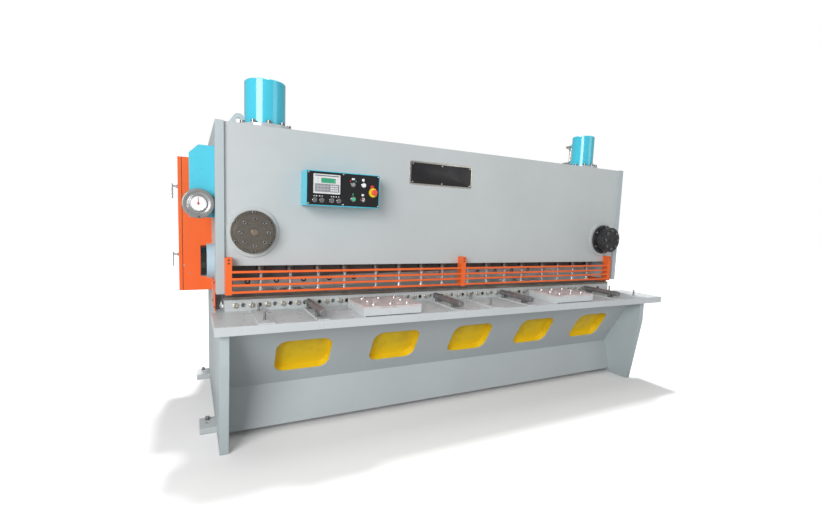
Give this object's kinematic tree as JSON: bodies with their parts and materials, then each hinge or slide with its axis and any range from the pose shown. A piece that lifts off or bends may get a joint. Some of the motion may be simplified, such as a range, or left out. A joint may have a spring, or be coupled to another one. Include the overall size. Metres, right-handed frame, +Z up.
{
  "type": "hydraulic guillotine shear",
  "caption": "Hydraulic guillotine shear with sliding blade beam, hold-downs behind a finger guard, roller and ball table, panel, side handwheel and cabinet.",
  "frame": {"origin": "on the floor, at the centre of the four anchor holes", "axes": "+X to the right along the blades seen from the operator, +Y to the back, +Z up"},
  "size_m": [4.234, 1.819, 2.397],
  "materials": {
    "grey_paint": "satin enamel",
    "cyan_paint": "gloss enamel",
    "orange_paint": "semi-gloss enamel",
    "yellow_paint": "semi-gloss enamel",
    "ground_steel": "ground",
    "blade_steel": "ground, oiled",
    "zinc_plate": "zinc plated",
    "polished_steel": "polished",
    "blued_steel": "blued",
    "hard_chrome": "hard chrome",
    "black_oxide": "black oxide",
    "dark_cast_iron": "machined, oiled",
    "black_lacquer": "gloss lacquer",
    "white_plastic": "satin",
    "grey_plastic": "satin",
    "green_plastic": "gloss",
    "red_plastic": "gloss",
    "wheel_grey": "fine texture",
    "dial_white": "satin",
    "motor_grey": "hammer enamel"
  },
  "bodies": {
    "frame": {"left_housing": "grey_paint", "right_housing": "grey_paint", "front_plate": "grey_paint", "bed": "grey_paint", "work_table": "grey_paint", "feet": "grey_paint", "apron": "grey_paint", "apron_liner": "yellow_paint", "bed_top_plate": "ground_steel", "lower_blade": "blade_steel", "bed_bolts": "zinc_plate", "ball_plates": "grey_paint", "transfer_balls": "polished_steel", "table_posts": "ground_steel", "throat_guards": "orange_paint", "finger_guard": "orange_paint", "main_cylinder_left": "cyan_paint", "main_cylinder_right": "cyan_paint", "cylinder_bolts": "black_oxide", "front_guide_left": "dark_cast_iron", "front_guide_right": "black_oxide", "guide_bolts": "black_oxide", "side_caps": "black_oxide", "hold_down_cylinders": "grey_paint", "panel_box": "cyan_paint", "panel_face": "black_lacquer", "operator_unit": "white_plastic", "socket_screws": "zinc_plate", "gap_housing": "cyan_paint", "cabinet": "orange_paint", "rear_beam": "grey_paint", "gauge_drive": "motor_grey", "oil_tank": "grey_paint", "pump_motor": "motor_grey"},
    "ram_assembly": {"ram": "grey_paint", "upper_blade": "blade_steel", "piston_rods": "hard_chrome"},
    "hold_downs": {"hold_down_plungers": "hard_chrome"},
    "handwheel": {"gap_handwheel": "wheel_grey", "gap_dial": "dial_white"},
    "pointer": {"dial_pointer": "red_plastic"},
    "door": {"cabinet_door": "orange_paint"},
    "upper_latch": {"latch_upper": "hard_chrome"},
    "lower_latch": {"latch_lower": "hard_chrome"},
    "gauge": {"back_gauge": "grey_paint"},
    "screw_left": {"gauge_screw_left": "ground_steel"},
    "screw_right": {"gauge_screw_right": "ground_steel"},
    "roller_1": {"table_roller_1": "blued_steel"},
    "jog_1": {"jog_button_1": "grey_plastic"},
    "roller_2": {"table_roller_2": "blued_steel"},
    "jog_2": {"jog_button_2": "grey_plastic"},
    "roller_3": {"table_roller_3": "blued_steel"},
    "jog_3": {"jog_button_3": "grey_plastic"},
    "roller_4": {"table_roller_4": "blued_steel"},
    "jog_4": {"jog_button_4": "grey_plastic"},
    "start": {"start_button": "green_plastic"},
    "lamp": {"lamp_button": "white_plastic"},
    "selector": {"mode_selector": "grey_plastic"},
    "key": {"key_switch": "zinc_plate"},
    "stop": {"emergency_stop": "red_plastic"}
  },
  "joints": [
    {"name": "ram_slide", "type": "slide", "parent": "frame", "child": "ram_assembly", "axis": [0, 0, -1], "range_m": [0, 0.1]},
    {"name": "hold_down_slide", "type": "slide", "parent": "frame", "child": "hold_downs", "axis": [0, 0, -1], "range_m": [0, 0.0175]},
    {"name": "handwheel_turn", "type": "hinge", "parent": "frame", "child": "handwheel", "pos_m": [-1.992, -0.6, 1.543], "axis": [0, -1, 0], "continuous": true},
    {"name": "pointer_turn", "type": "hinge", "parent": "handwheel", "child": "pointer", "pos_m": [-1.992, -0.64, 1.543], "axis": [0, -1, 0], "continuous": true},
    {"name": "cabinet_door_swing", "type": "hinge", "parent": "frame", "child": "door", "pos_m": [-2.111, 0.491, 1.395], "axis": [0, 0, -1], "range_deg": [0, 110]},
    {"name": "latch_upper_turn", "type": "hinge", "parent": "door", "child": "upper_latch", "pos_m": [-2.12, -0.07, 1.675], "axis": [1, 0, 0], "range_deg": [0, 90]},
    {"name": "latch_lower_turn", "type": "hinge", "parent": "door", "child": "lower_latch", "pos_m": [-2.12, -0.07, 1.175], "axis": [1, 0, 0], "range_deg": [0, 90]},
    {"name": "jog_1_push", "type": "slide", "parent": "frame", "child": "jog_1", "axis": [0, 1, 0], "range_m": [0, 0.004], "stiffness_N_per_m": 400},
    {"name": "jog_2_push", "type": "slide", "parent": "frame", "child": "jog_2", "axis": [0, 1, 0], "range_m": [0, 0.004], "stiffness_N_per_m": 400},
    {"name": "jog_3_push", "type": "slide", "parent": "frame", "child": "jog_3", "axis": [0, 1, 0], "range_m": [0, 0.004], "stiffness_N_per_m": 400},
    {"name": "jog_4_push", "type": "slide", "parent": "frame", "child": "jog_4", "axis": [0, 1, 0], "range_m": [0, 0.004], "stiffness_N_per_m": 400},
    {"name": "start_push", "type": "slide", "parent": "frame", "child": "start", "axis": [0, 1, 0], "range_m": [0, 0.004], "stiffness_N_per_m": 400},
    {"name": "lamp_push", "type": "slide", "parent": "frame", "child": "lamp", "axis": [0, 1, 0], "range_m": [0, 0.004], "stiffness_N_per_m": 400},
    {"name": "selector_turn", "type": "hinge", "parent": "frame", "child": "selector", "pos_m": [-1.028, -0.832, 1.715], "axis": [0, -1, 0], "range_deg": [-45, 45]},
    {"name": "key_turn", "type": "hinge", "parent": "frame", "child": "key", "pos_m": [-0.955, -0.832, 1.616], "axis": [0, -1, 0], "range_deg": [0, 90]},
    {"name": "stop_push", "type": "slide", "parent": "frame", "child": "stop", "axis": [0, 1, 0], "range_m": [0, 0.005]},
    {"name": "roller_1_spin", "type": "hinge", "parent": "frame", "child": "roller_1", "pos_m": [-1.29, -0.88, 0.882], "axis": [0, 1, 0], "continuous": true},
    {"name": "roller_2_spin", "type": "hinge", "parent": "frame", "child": "roller_2", "pos_m": [-0.24638, -0.88, 0.882], "axis": [0, 1, 0], "continuous": true},
    {"name": "roller_3_spin", "type": "hinge", "parent": "frame", "child": "roller_3", "pos_m": [0.435, -0.88, 0.882], "axis": [0, 1, 0], "continuous": true},
    {"name": "roller_4_spin", "type": "hinge", "parent": "frame", "child": "roller_4", "pos_m": [1.47863, -0.88, 0.882], "axis": [0, 1, 0], "continuous": true},
    {"name": "back_gauge_slide", "type": "slide", "parent": "frame", "child": "gauge", "axis": [0, 1, 0], "range_m": [-0.44, 0.23]},
    {"name": "gauge_screw_left_spin", "type": "hinge", "parent": "frame", "child": "screw_left", "pos_m": [-1.222, 0.02, 0.889], "axis": [0, 1, 0], "continuous": true},
    {"name": "gauge_screw_right_spin", "type": "hinge", "parent": "frame", "child": "screw_right", "pos_m": [1.222, 0.02, 0.889], "axis": [0, 1, 0], "continuous": true}
  ],
  "couplings": [
    {"joint": "pointer_turn", "follows": "handwheel_turn", "ratio": -1},
    {"joint": "gauge_screw_left_spin", "follows": "back_gauge_slide", "rad_per_m": 314.16},
    {"joint": "gauge_screw_right_spin", "follows": "back_gauge_slide", "rad_per_m": 314.16}
  ]
}
